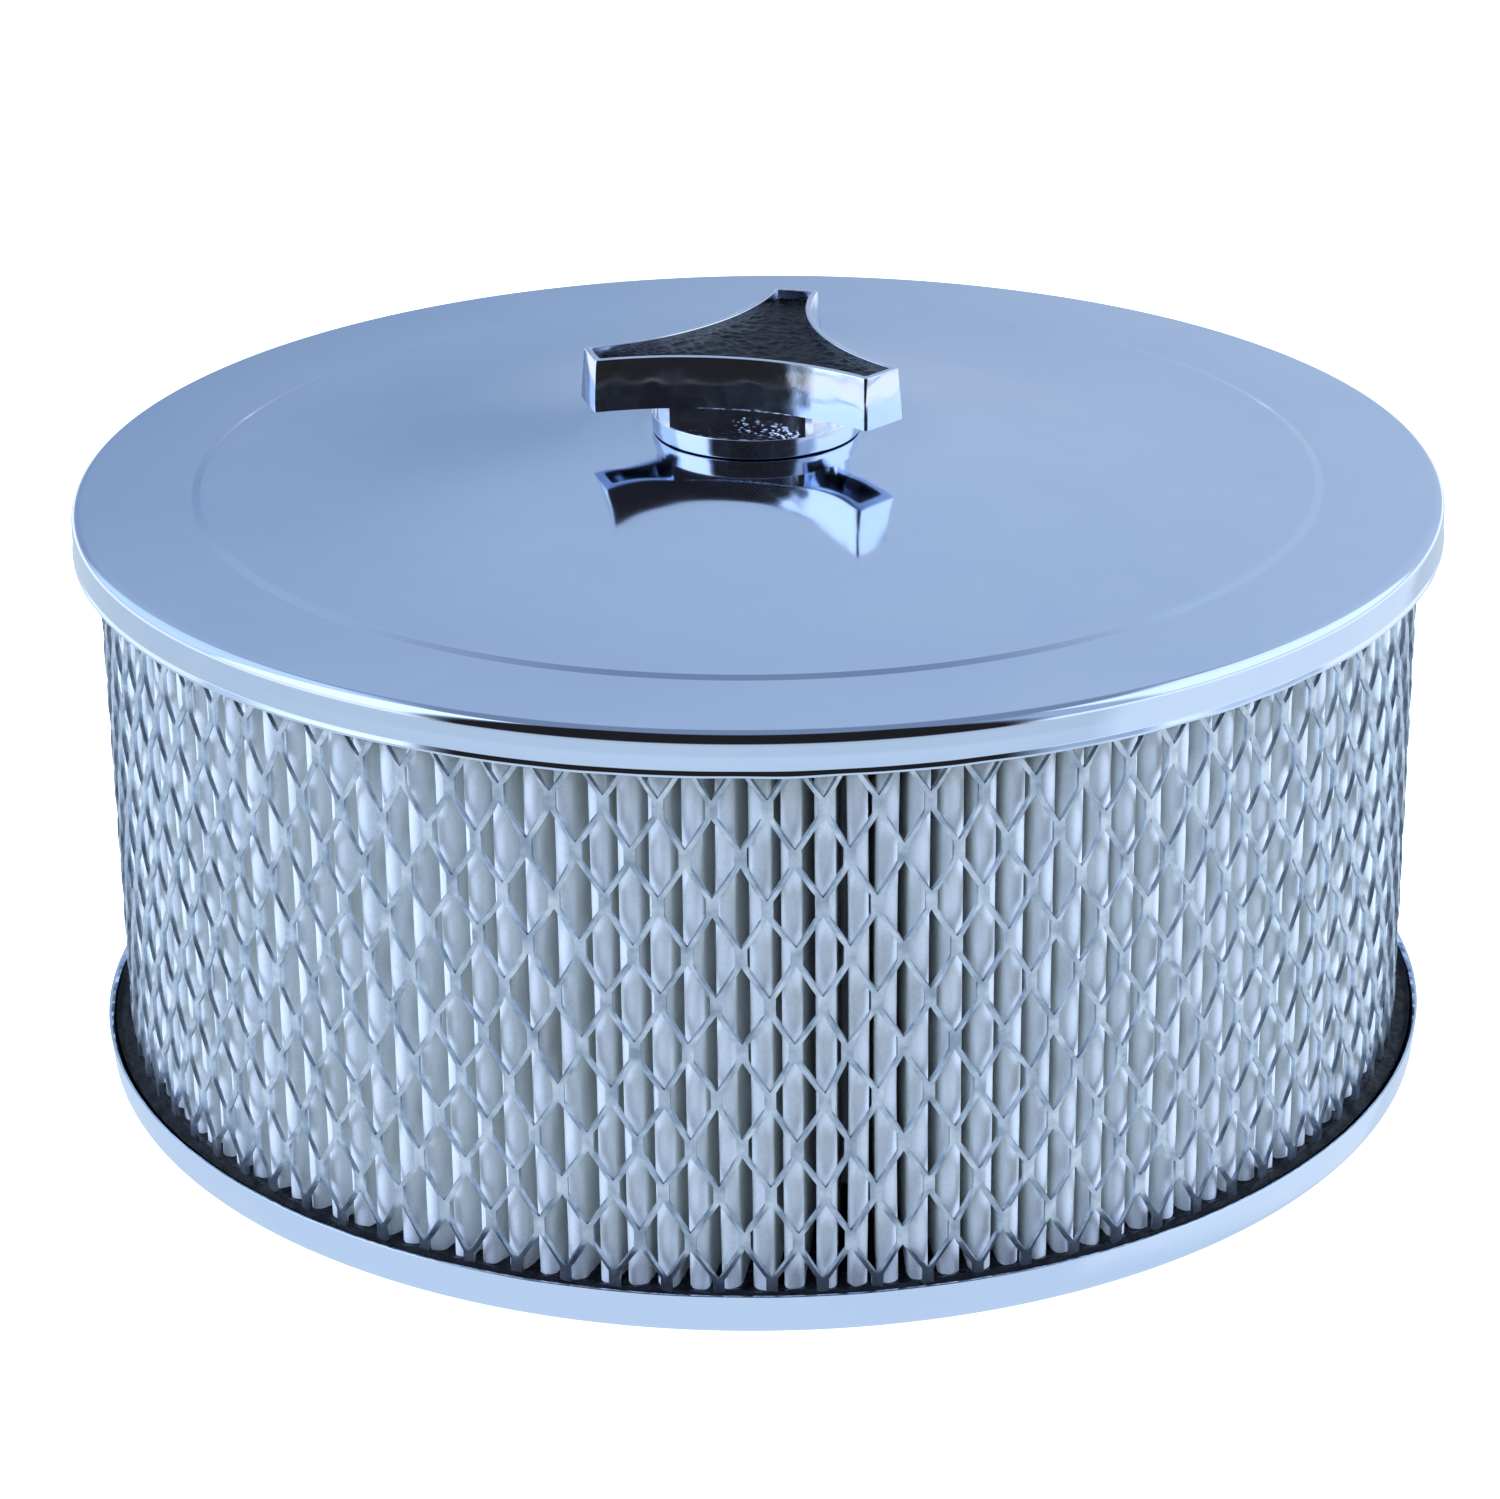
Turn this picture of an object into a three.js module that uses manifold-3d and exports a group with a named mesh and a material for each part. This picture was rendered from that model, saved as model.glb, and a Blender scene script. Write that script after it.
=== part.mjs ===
// Round open-element air filter housing: a chrome lid and pan either side of a pleated paper
// element, held together by one three-winged nut on a centre stud. A slotted neck under the pan
// slips over the carburettor's mouth and is drawn tight by a worm-drive clamp.
//
// Millimetres, +Z up. The origin is the centre of the neck's lower end, on the stud's axis.

import * as THREE from 'three';
import { mergeVertices } from 'three/addons/utils/BufferGeometryUtils.js';
import Module from 'manifold-3d';

const wasm = await Module();
wasm.setup();

// ---- driving dimensions ----

const HOUSING_RADIUS = 81;        // lid and pan, 6 3/8 in across
const SHEET = 0.8;                // chromed steel sheet
const REST_GAP = 0.1;             // between faces that rest on each other
const SIDE_GAP = 0.3;             // between parts that slip past each other
const ROUND = 64;                 // sides of the large turned parts
const SMALL_ROUND = 32;           // sides of the small turned parts

const PAN_Z = 20;                 // underside of the pan above the neck's lower end
const PAN_FLOOR_Z = PAN_Z + SHEET;
const PAN_RIM_HEIGHT = 5.1;
const PAN_FLARE = 0.45;           // the rim leans out this much over its height
const PAN_CORNER = 1.6;

const LID_RING_Z = PAN_Z + 70.7;  // flat ring on top of the lid
const LID_FLANGE_HEIGHT = 5;
const LID_CORNER = 1.3;
const CREASE_RADIUS = 66.8;       // where the flat ring steps up to the dome
const CREASE_WIDTH = 1;
const LID_HOLE_RADIUS = 3.6;
const SEAT_RADIUS = 12.8;         // flat middle of the lid that the knob presses on
const SEAT_RISE = 5.3;
// Radius and height above the flat ring, from the seat out to the crease. The dome is steepest
// a third of the way out and flattens towards the crease.
const DOME_PROFILE = [
  [SEAT_RADIUS, SEAT_RISE],
  [15, 5.15],
  [20, 4.8],
  [22.5, 4.5],
  [26, 3.95],
  [31, 3.15],
  [37, 2.3],
  [44, 1.45],
  [52, 0.8],
  [60, 0.46],
  [CREASE_RADIUS - CREASE_WIDTH, 0.35],
];

const ELEMENT_INNER_RADIUS = 53;
const MESH_RADIUS = 78.1;
const MESH_THICKNESS = 0.6;
const INNER_MESH_THICKNESS = 0.6;
const LOWER_SEAL_HEIGHT = 2.7;
const UPPER_SEAL_HEIGHT = 3.6;
const SEAL_INNER_RADIUS = 52;

const PLEATS = 140;
const PLEAT_TIP_RADIUS = 76.9;
const PLEAT_ROOT_RADIUS = 54.4;
const PAPER_DEPTH = 5;            // radial depth of one paper wall, about 0.4 mm across the wall

const NECK_BORE_RADIUS = 26.2;    // slips over a mouth of 2 1/16 in
const NECK_WALL = 1;
const NECK_FLANGE_RADIUS = 36;
const NECK_SLOT_WIDTH = 2.4;
const NECK_SLOT_HEIGHT = 14;
const RIVET_CIRCLE = 31.6;
const RIVET_SHANK = 1.5;
const RIVET_HOLE = 1.8;
const RIVET_HEAD = 2.9;

const BRIDGE_LENGTH = 71;
const BRIDGE_WIDTH = 14;
const BRIDGE_THICKNESS = 2;

const STUD_RADIUS = 3.1;          // 1/4-20 thread
const STUD_HOLE = 3.4;
const STUD_TOP_Z = PAN_Z + 83;
const STUD_BOTTOM_Z = PAN_Z - 5.5;
const NUT_FLATS = 11.1;
const NUT_HEIGHT = 5.6;
const WASHER_RADIUS = 5.7;
const WASHER_THICKNESS = 1.6;

const BAND_WIDTH = 10;
const BAND_THICKNESS = 0.7;
const BAND_BOTTOM_Z = 2.6;
const SCREW_RADIUS = 3.4;
const SCREW_LENGTH = 17;
const SCREW_HEAD_FLATS = 7.9;
const SCREW_HEAD_LENGTH = 5;
const SHELL_LENGTH = 13;
const SHELL_WALL = 1.1;

const KNOB_TOP_Z = PAN_Z + 87;
const KNOB_TURN = THREE.MathUtils.degToRad(75.9);   // direction of the first wing
const WING_REACH = 20.15;
const WING_HALF_WIDTH = 2.85;     // at the wing's end
const WING_DEPTH = 6.2;
const THROAT_RADIUS = 8.3;        // nearest the axis between two wings
const HUB_RADIUS = 12.4;
const HUB_LEDGE = 2.05;
const KNOB_RIM = 0.75;            // bright edge left round the recess
const KNOB_RECESS = 1.8;
const INLAY_THICKNESS = 0.7;
const GASKET_RADIUS = 11.9;
const GASKET_THICKNESS = 0.2;
const HUB_BOTTOM_Z = LID_RING_Z + SEAT_RISE + REST_GAP + GASKET_THICKNESS + REST_GAP;

// ---- materials ----

const chrome = new THREE.MeshStandardMaterial({ color: 0xb4c4e4, roughness: 0.12, metalness: 1 });
const galvanised = new THREE.MeshStandardMaterial({ color: 0x9aabb8, roughness: 0.4, metalness: 0.9 });
const zinc = new THREE.MeshStandardMaterial({ color: 0xb9bfc4, roughness: 0.35, metalness: 1 });
const paper = new THREE.MeshStandardMaterial({ color: 0xd8d8c4, roughness: 0.9, metalness: 0 });
const rubber = new THREE.MeshStandardMaterial({ color: 0x101214, roughness: 0.6, metalness: 0 });
const pebbled = new THREE.MeshStandardMaterial({ color: 0x14171c, roughness: 0.45, metalness: 0.3 });
const fibre = new THREE.MeshStandardMaterial({ color: 0x1d1f22, roughness: 0.8, metalness: 0 });

// ---- solids and booleans ----

function toManifold(geometry) {
  const bare = geometry.index ? geometry.toNonIndexed() : geometry.clone();
  bare.deleteAttribute('normal');
  bare.deleteAttribute('uv');
  const welded = mergeVertices(bare, 1e-4);
  return new wasm.Manifold(new wasm.Mesh({
    numProp: 3,
    vertProperties: new Float32Array(welded.attributes.position.array),
    triVerts: new Uint32Array(welded.index.array),
  }));
}

function toGeometry(solid) {
  const mesh = solid.getMesh();
  const geometry = new THREE.BufferGeometry();
  geometry.setAttribute('position', new THREE.BufferAttribute(mesh.vertProperties, 3));
  geometry.setIndex(new THREE.BufferAttribute(mesh.triVerts, 1));
  geometry.computeVertexNormals();
  return geometry;
}

function cut(geometry, ...tools) {
  return toGeometry(tools.reduce((solid, tool) => solid.subtract(toManifold(tool)), toManifold(geometry)));
}

function join(...geometries) {
  const [first, ...others] = geometries.map(toManifold);
  return toGeometry(others.reduce((solid, other) => solid.add(other), first));
}

function common(geometry, other) {
  return toGeometry(toManifold(geometry).intersect(toManifold(other)));
}

// A solid turned about Z from [radius, z] points that run counter-clockwise when z is up.
function turned(points, sides = SMALL_ROUND) {
  const profile = points.map(([radius, z]) => new THREE.Vector2(radius, z));
  const closesOnAxis = points[0][0] === 0 && points[points.length - 1][0] === 0;
  if (!closesOnAxis) profile.push(profile[0].clone());
  return new THREE.LatheGeometry(profile, sides).rotateX(Math.PI / 2);
}

// A plain ring of rectangular section.
function ring(inner, outer, bottom, top, sides = SMALL_ROUND) {
  return turned([[inner, bottom], [outer, bottom], [outer, top], [inner, top]], sides);
}

function disc(radius, bottom, top, sides = SMALL_ROUND) {
  return turned([[0, bottom], [radius, bottom], [radius, top], [0, top]], sides);
}

// An outline pushed up along Z.
function raised(shape, bottom, top, curveSegments = 12) {
  const settings = { depth: top - bottom, bevelEnabled: false, curveSegments };
  return new THREE.ExtrudeGeometry(shape, settings).translate(0, 0, bottom);
}

// Points on a quarter-round corner in the [radius, z] plane.
function cornerArc(centreRadius, centreZ, size, fromDegrees, toDegrees, steps = 4) {
  return Array.from({ length: steps + 1 }, (_, i) => {
    const angle = THREE.MathUtils.degToRad(fromDegrees + (toDegrees - fromDegrees) * i / steps);
    return [centreRadius + size * Math.cos(angle), centreZ + size * Math.sin(angle)];
  });
}

// ---- pan and lid ----

const panFootRadius = HOUSING_RADIUS - PAN_FLARE;
const neckOuterRadius = NECK_BORE_RADIUS + NECK_WALL;
const panHoleRadius = neckOuterRadius + SIDE_GAP;
const rivetPlaces = [[0, -1], [0, 1], [-1, 0], [1, 0]].map(([x, y]) => [x * RIVET_CIRCLE, y * RIVET_CIRCLE]);

function rivetDrills(places) {
  return places.map(([x, y]) => disc(RIVET_HOLE, PAN_Z - 5, PAN_Z + 10, 16).translate(x, y, 0));
}

function basePan() {
  const outside = cornerArc(panFootRadius - PAN_CORNER, PAN_Z + PAN_CORNER, PAN_CORNER, -90, 0);
  const innerCorner = PAN_CORNER - SHEET;
  const inside = cornerArc(panFootRadius - PAN_CORNER, PAN_Z + PAN_CORNER, innerCorner, 0, -90, 3);
  const rimTop = PAN_Z + PAN_RIM_HEIGHT;
  const sheet = turned([
    [panHoleRadius, PAN_Z],
    ...outside,
    [HOUSING_RADIUS, rimTop],
    [HOUSING_RADIUS - SHEET, rimTop],
    ...inside,
    [panHoleRadius, PAN_FLOOR_Z],
  ], ROUND);
  return cut(sheet, ...rivetDrills(rivetPlaces));
}

// Half of the lid's section from the crease over the dome to the stud hole.
function domeLine(drop) {
  const line = [[CREASE_RADIUS, 0], ...DOME_PROFILE.toReversed(), [LID_HOLE_RADIUS, SEAT_RISE]];
  return line.map(([radius, rise]) => [radius, LID_RING_Z + rise - drop]);
}

function lid() {
  const flangeBottom = LID_RING_Z - LID_FLANGE_HEIGHT;
  const cornerRadius = HOUSING_RADIUS - LID_CORNER;
  const cornerZ = LID_RING_Z - LID_CORNER;
  const innerCorner = LID_CORNER - SHEET;
  return turned([
    [HOUSING_RADIUS - SHEET, flangeBottom],
    [HOUSING_RADIUS, flangeBottom],
    ...cornerArc(cornerRadius, cornerZ, LID_CORNER, 0, 90),
    ...domeLine(0),
    ...domeLine(SHEET).reverse(),
    ...cornerArc(cornerRadius, cornerZ, innerCorner, 90, 0, 2),
  ], ROUND);
}

// ---- element ----

const lowerSealZ = PAN_FLOOR_Z + REST_GAP;
const lowerSealTop = lowerSealZ + LOWER_SEAL_HEIGHT;
const upperSealTop = LID_RING_Z - SHEET - REST_GAP;
const upperSealZ = upperSealTop - UPPER_SEAL_HEIGHT;
const packZ = lowerSealTop + REST_GAP;
const packTop = upperSealZ - REST_GAP;

function lowerEndSeal() {
  const foot = panFootRadius - PAN_CORNER;
  const wall = HOUSING_RADIUS - SHEET - 2 * SIDE_GAP;
  return turned([
    [SEAL_INNER_RADIUS, lowerSealZ],
    [foot, lowerSealZ],
    [wall, lowerSealZ + PAN_CORNER],
    [wall, lowerSealTop],
    [SEAL_INNER_RADIUS, lowerSealTop],
  ], ROUND);
}

function upperEndSeal() {
  const wall = HOUSING_RADIUS - SHEET - SIDE_GAP;
  const shoulder = HOUSING_RADIUS - LID_CORNER;
  return turned([
    [SEAL_INNER_RADIUS, upperSealZ],
    [wall, upperSealZ],
    [wall, upperSealTop - LID_CORNER],
    [shoulder - SIDE_GAP, upperSealTop],
    [SEAL_INNER_RADIUS, upperSealTop],
  ], ROUND);
}

function outerMesh() {
  return ring(MESH_RADIUS - MESH_THICKNESS, MESH_RADIUS, packZ, packTop, ROUND);
}

function innerMesh() {
  return ring(ELEMENT_INNER_RADIUS, ELEMENT_INNER_RADIUS + INNER_MESH_THICKNESS, packZ, packTop, ROUND);
}

// The folded band seen from above: tip, root, tip, root all the way round.
function foldedLoop(path, tipRadius, rootRadius) {
  for (let fold = 0; fold < 2 * PLEATS; fold += 1) {
    const angle = Math.PI * fold / PLEATS;
    const radius = fold % 2 === 0 ? tipRadius : rootRadius;
    const point = [radius * Math.cos(angle), radius * Math.sin(angle)];
    if (fold === 0) path.moveTo(...point);
    else path.lineTo(...point);
  }
  path.closePath();
  return path;
}

function paperPleats() {
  const band = foldedLoop(new THREE.Shape(), PLEAT_TIP_RADIUS, PLEAT_ROOT_RADIUS + PAPER_DEPTH);
  band.holes.push(foldedLoop(new THREE.Path(), PLEAT_TIP_RADIUS - PAPER_DEPTH, PLEAT_ROOT_RADIUS));
  return raised(band, packZ, packTop);
}

// ---- neck, bridge and stud ----

const flangeZ = PAN_FLOOR_Z + REST_GAP;
const flangeTop = flangeZ + NECK_WALL;
const bridgeZ = flangeTop + REST_GAP;
const bridgeTop = bridgeZ + BRIDGE_THICKNESS;

function neckTube() {
  const tube = turned([
    [NECK_BORE_RADIUS, 0],
    [neckOuterRadius, 0],
    [neckOuterRadius, flangeZ],
    [NECK_FLANGE_RADIUS, flangeZ],
    [NECK_FLANGE_RADIUS, flangeTop],
    [NECK_BORE_RADIUS, flangeTop],
  ], 48);
  const slots = [45, 135].map((degrees) => new THREE.BoxGeometry(80, NECK_SLOT_WIDTH, 2 * NECK_SLOT_HEIGHT)
    .rotateZ(THREE.MathUtils.degToRad(degrees)));
  return cut(tube, ...slots, ...rivetDrills(rivetPlaces));
}

// A domed head above the stack that it clinches and a flatter one below the pan.
function rivet(seatZ) {
  const headBottom = seatZ + REST_GAP;
  const tailTop = PAN_Z - REST_GAP;
  return turned([
    [0, tailTop - 1.1],
    [1.9, tailTop - 1.1],
    [2.6, tailTop - 0.6],
    [2.6, tailTop],
    [RIVET_SHANK, tailTop],
    [RIVET_SHANK, headBottom],
    [RIVET_HEAD, headBottom],
    [2.5, headBottom + 0.8],
    [1.5, headBottom + 1.3],
    [0, headBottom + 1.5],
  ], 16);
}

function roundHole(x, y, radius) {
  const hole = new THREE.Path();
  hole.absarc(x, y, radius, 0, 2 * Math.PI);
  return hole;
}

function bridge() {
  const straight = BRIDGE_LENGTH / 2 - BRIDGE_WIDTH / 2;
  const strap = new THREE.Shape();
  strap.absarc(straight, 0, BRIDGE_WIDTH / 2, -Math.PI / 2, Math.PI / 2);
  strap.absarc(-straight, 0, BRIDGE_WIDTH / 2, Math.PI / 2, 3 * Math.PI / 2);
  strap.closePath();
  strap.holes.push(
    roundHole(0, 0, STUD_HOLE),
    roundHole(-RIVET_CIRCLE, 0, RIVET_HOLE),
    roundHole(RIVET_CIRCLE, 0, RIVET_HOLE),
  );
  return raised(strap, bridgeZ, bridgeTop, 10);
}

function stud() {
  const chamfer = 0.8;
  return turned([
    [0, STUD_BOTTOM_Z],
    [STUD_RADIUS - chamfer, STUD_BOTTOM_Z],
    [STUD_RADIUS, STUD_BOTTOM_Z + chamfer],
    [STUD_RADIUS, STUD_TOP_Z - chamfer],
    [STUD_RADIUS - chamfer, STUD_TOP_Z],
    [0, STUD_TOP_Z],
  ], 24);
}

function hexagon(flats) {
  const corner = flats / Math.sqrt(3);
  const points = Array.from({ length: 6 }, (_, i) => {
    const angle = Math.PI / 3 * i;
    return new THREE.Vector2(corner * Math.cos(angle), corner * Math.sin(angle));
  });
  return new THREE.Shape(points);
}

// A hexagon nut with both ends chamfered to a cone.
function nut(bottom) {
  const blank = hexagon(NUT_FLATS);
  blank.holes.push(roundHole(0, 0, STUD_HOLE));
  const corner = NUT_FLATS / Math.sqrt(3);
  const top = bottom + NUT_HEIGHT;
  const barrel = turned([
    [0, bottom],
    [corner - 0.9, bottom],
    [corner, bottom + 0.55],
    [corner, top - 0.55],
    [corner - 0.9, top],
    [0, top],
  ]);
  return common(raised(blank, bottom, top, 10), barrel);
}

function splitWasher(bottom) {
  const top = bottom + WASHER_THICKNESS;
  const gap = new THREE.BoxGeometry(WASHER_RADIUS, 1, 3 * WASHER_THICKNESS)
    .translate(WASHER_RADIUS / 2 + 1, 0, bottom)
    .rotateZ(THREE.MathUtils.degToRad(60));
  return cut(ring(STUD_HOLE, WASHER_RADIUS, bottom, top, 24), gap);
}

const lockWasherZ = bridgeTop + REST_GAP;
const upperNutZ = lockWasherZ + WASHER_THICKNESS + REST_GAP;
const lowerNutZ = bridgeZ - REST_GAP - NUT_HEIGHT;

// ---- clamp ----

const bandInner = neckOuterRadius + SIDE_GAP;
const bandOuter = bandInner + BAND_THICKNESS;
const screwX = bandOuter + SIDE_GAP + SHELL_WALL + SIDE_GAP + SCREW_RADIUS;
const screwZ = BAND_BOTTOM_Z + BAND_WIDTH / 2;

function clampBand() {
  return ring(bandInner, bandOuter, BAND_BOTTOM_Z, BAND_BOTTOM_Z + BAND_WIDTH, 48);
}

// Lays a piece that was made along Z down along Y, at the clamp screw's place.
function alongScrew(geometry) {
  return geometry.rotateX(-Math.PI / 2).translate(screwX, 0, screwZ);
}

// The arched shell that holds the screw, open at both ends.
function clampHousing() {
  const tunnel = SCREW_RADIUS + SIDE_GAP;
  const outer = tunnel + SHELL_WALL;
  const foot = -outer;
  const arch = new THREE.Shape();
  arch.moveTo(foot, -outer);
  arch.lineTo(0, -outer);
  arch.absarc(0, 0, outer, -Math.PI / 2, Math.PI / 2);
  arch.lineTo(foot, outer);
  arch.closePath();
  arch.holes.push(roundHole(0, 0, tunnel));
  const shell = alongScrew(raised(arch, -SHELL_LENGTH / 2, SHELL_LENGTH / 2));
  return cut(shell, disc(bandOuter + SIDE_GAP, 0, 2 * BAND_WIDTH, 48));
}

// Worm with a hexagon head that has a screwdriver slot.
function clampScrew() {
  const headStart = SCREW_LENGTH / 2;
  const worm = disc(SCREW_RADIUS, -SCREW_LENGTH / 2, headStart, 20);
  const head = raised(hexagon(SCREW_HEAD_FLATS), headStart - 1, headStart + SCREW_HEAD_LENGTH);
  const slot = new THREE.BoxGeometry(2 * SCREW_HEAD_FLATS, 1.2, 2.4)
    .translate(0, 0, headStart + SCREW_HEAD_LENGTH);
  return alongScrew(cut(join(worm, head), slot));
}

// ---- knob ----

// Each side between two wings is one arc whose centre lies straight out from the throat.
const wingCornerAlong = WING_REACH / 2 + WING_HALF_WIDTH * Math.sqrt(3) / 2;
const halfChord = WING_REACH * Math.sqrt(3) / 2 - WING_HALF_WIDTH / 2;
const sagitta = wingCornerAlong - THROAT_RADIUS;
const sideArcRadius = (halfChord ** 2 + sagitta ** 2) / (2 * sagitta);
const sideArcCentre = THROAT_RADIUS + sideArcRadius;

// Outline of the three-winged star, drawn in by inset all round.
function star(inset) {
  const arc = sideArcRadius + inset;
  const reach = WING_REACH - inset;
  const centreAlong = sideArcCentre / 2;
  const centreAcross = sideArcCentre * Math.sqrt(3) / 2;
  const halfWidth = centreAcross - Math.sqrt(arc ** 2 - (reach - centreAlong) ** 2);
  const outline = new THREE.Shape();
  for (let wing = 0; wing < 3; wing += 1) {
    const along = KNOB_TURN + wing * 2 * Math.PI / 3;
    const between = along + Math.PI / 3;
    const centre = new THREE.Vector2(sideArcCentre, 0).rotateAround(new THREE.Vector2(), between);
    const start = new THREE.Vector2(reach, halfWidth).rotateAround(new THREE.Vector2(), along);
    const end = new THREE.Vector2(reach, -halfWidth).rotateAround(new THREE.Vector2(), between + Math.PI / 3);
    const startAngle = start.clone().sub(centre).angle();
    const endAngle = end.clone().sub(centre).angle();
    outline.absarc(centre.x, centre.y, arc, startAngle, endAngle, true);
  }
  outline.closePath();
  return outline;
}

function knobBody() {
  const wingBottom = KNOB_TOP_Z - WING_DEPTH;
  const ledge = HUB_BOTTOM_Z + HUB_LEDGE;
  const wings = raised(star(0), wingBottom, KNOB_TOP_Z);
  const columns = common(raised(star(0), ledge - 0.5, wingBottom + 0.5), disc(HUB_RADIUS, ledge - 1, KNOB_TOP_Z));
  const hub = disc(HUB_RADIUS, HUB_BOTTOM_Z, ledge);
  const recess = raised(star(KNOB_RIM), KNOB_TOP_Z - KNOB_RECESS, KNOB_TOP_Z + 1);
  const bore = disc(STUD_HOLE, HUB_BOTTOM_Z - 1, STUD_TOP_Z + 1.2, 24);
  return cut(join(wings, columns, hub), recess, bore);
}

function knobInlay() {
  const bottom = KNOB_TOP_Z - KNOB_RECESS + REST_GAP;
  return raised(star(KNOB_RIM + SIDE_GAP / 2), bottom, bottom + INLAY_THICKNESS);
}

function knobGasket() {
  const top = HUB_BOTTOM_Z - REST_GAP;
  return ring(STUD_HOLE, GASKET_RADIUS, top - GASKET_THICKNESS, top);
}

// ---- assembly ----

const housing = new THREE.Group();

function addPart(name, geometry, material) {
  const mesh = new THREE.Mesh(geometry, material);
  mesh.name = name;
  housing.add(mesh);
}

addPart('base_pan', basePan(), chrome);
addPart('neck_tube', neckTube(), chrome);
addPart('bridge', bridge(), zinc);
addPart('stud', stud(), zinc);
addPart('stud_nut_lower', nut(lowerNutZ), zinc);
addPart('stud_lock_washer', splitWasher(lockWasherZ), zinc);
addPart('stud_nut_upper', nut(upperNutZ), zinc);

['neck_rivet_front', 'neck_rivet_back', 'bridge_rivet_left', 'bridge_rivet_right'].forEach((name, i) => {
  const [x, y] = rivetPlaces[i];
  const seat = name.startsWith('bridge') ? bridgeTop : flangeTop;
  addPart(name, rivet(seat).translate(x, y, 0), zinc);
});

addPart('clamp_band', clampBand(), zinc);
addPart('clamp_housing', clampHousing(), zinc);
addPart('clamp_screw', clampScrew(), zinc);

addPart('lower_end_seal', lowerEndSeal(), rubber);
addPart('upper_end_seal', upperEndSeal(), rubber);
addPart('paper_pleats', paperPleats(), paper);
addPart('outer_mesh', outerMesh(), galvanised);
addPart('inner_mesh', innerMesh(), galvanised);

addPart('lid', lid(), chrome);
addPart('knob_gasket', knobGasket(), fibre);
addPart('knob_body', knobBody(), chrome);
addPart('knob_inlay', knobInlay(), pebbled);

export default housing;
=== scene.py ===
import math
import random

import bmesh
import bpy
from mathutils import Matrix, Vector, noise


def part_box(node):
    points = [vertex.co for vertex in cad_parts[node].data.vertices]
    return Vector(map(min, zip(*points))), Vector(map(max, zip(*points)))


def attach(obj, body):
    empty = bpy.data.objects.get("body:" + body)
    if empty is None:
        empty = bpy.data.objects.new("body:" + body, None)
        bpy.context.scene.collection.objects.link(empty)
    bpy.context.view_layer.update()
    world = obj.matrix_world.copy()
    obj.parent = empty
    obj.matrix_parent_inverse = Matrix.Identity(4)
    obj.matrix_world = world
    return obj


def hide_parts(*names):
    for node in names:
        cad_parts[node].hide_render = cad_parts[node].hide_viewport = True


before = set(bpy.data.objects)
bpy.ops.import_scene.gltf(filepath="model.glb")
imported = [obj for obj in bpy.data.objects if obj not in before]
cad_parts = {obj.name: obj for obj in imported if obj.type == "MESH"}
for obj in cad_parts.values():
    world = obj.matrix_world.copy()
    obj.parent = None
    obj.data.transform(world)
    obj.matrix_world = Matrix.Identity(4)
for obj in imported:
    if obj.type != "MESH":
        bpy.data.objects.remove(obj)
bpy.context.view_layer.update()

MM = 0.001
FULL_TURN = 2 * math.pi

# ---- dimensions taken from the frame ----

pan_low, pan_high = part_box("base_pan")
lid_low, lid_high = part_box("lid")
neck_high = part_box("neck_tube")[1]
knob_low, knob_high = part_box("knob_body")
inlay_low, inlay_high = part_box("knob_inlay")
gasket_low, gasket_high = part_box("knob_gasket")
mesh_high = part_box("outer_mesh")[1]
core_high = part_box("inner_mesh")[1]
lower_low, lower_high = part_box("lower_end_seal")
upper_low, upper_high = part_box("upper_end_seal")
stud_low, stud_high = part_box("stud")
band_low, band_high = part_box("clamp_band")
screw_low, screw_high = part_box("clamp_screw")

HOUSING_RADIUS = lid_high.x
SHEET = 0.8 * MM
PAN_Z = pan_low.z
FLANGE_HEIGHT = 5 * MM
RING_Z = lid_low.z + FLANGE_HEIGHT
LID_HOLE = 3.6 * MM
MESH_RADIUS = mesh_high.x
SEAL_TOP = lower_high.z
SEAL_BORE = 52 * MM

# ---- mesh helpers ----


def link(name, mesh):
    """A new object in the scene that holds the mesh."""
    piece = bpy.data.objects.new(name, mesh)
    bpy.context.collection.objects.link(piece)
    return piece


def shade(mesh, degrees):
    """Smooth shading that keeps edges sharper than the angle crisp."""
    mesh.shade_smooth()
    mesh.set_sharp_from_angle(angle=math.radians(degrees))


def solid(name, points, faces, sharp=35, weld=1e-7):
    """A closed mesh object with its faces pointing out."""
    mesh = bpy.data.meshes.new(name)
    mesh.from_pydata(points, [], faces)
    bm = bmesh.new()
    bm.from_mesh(mesh)
    bmesh.ops.remove_doubles(bm, verts=bm.verts, dist=weld)
    bmesh.ops.recalc_face_normals(bm, faces=bm.faces)
    bm.to_mesh(mesh)
    bm.free()
    shade(mesh, sharp)
    return link(name, mesh)


def rounded(corners, steps=5):
    """A closed outline through (x, y, radius) corners, each one turned into an arc."""
    outline = []
    for i, (x, y, radius) in enumerate(corners):
        corner = Vector((x, y))
        if radius == 0:
            outline.append(tuple(corner))
            continue
        back = (Vector(corners[i - 1][:2]) - corner).normalized()
        ahead = (Vector(corners[(i + 1) % len(corners)][:2]) - corner).normalized()
        half = back.angle(ahead) / 2
        centre = corner + (back + ahead).normalized() * radius / math.sin(half)
        first = corner + back * radius / math.tan(half) - centre
        last = corner + ahead * radius / math.tan(half) - centre
        start = math.atan2(first.y, first.x)
        swing = (math.atan2(last.y, last.x) - start + math.pi) % FULL_TURN - math.pi
        for k in range(steps + 1):
            angle = start + swing * k / steps
            outline.append((centre.x + radius * math.cos(angle), centre.y + radius * math.sin(angle)))
    return outline


def ring_faces(rings, count):
    """Quads between neighbouring rings of points, the last ring joined to the first."""
    faces = []
    for k in range(rings):
        here, there = k * count, (k + 1) % rings * count
        for i in range(count):
            j = (i + 1) % count
            faces.append((here + i, there + i, there + j, here + j))
    return faces


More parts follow.
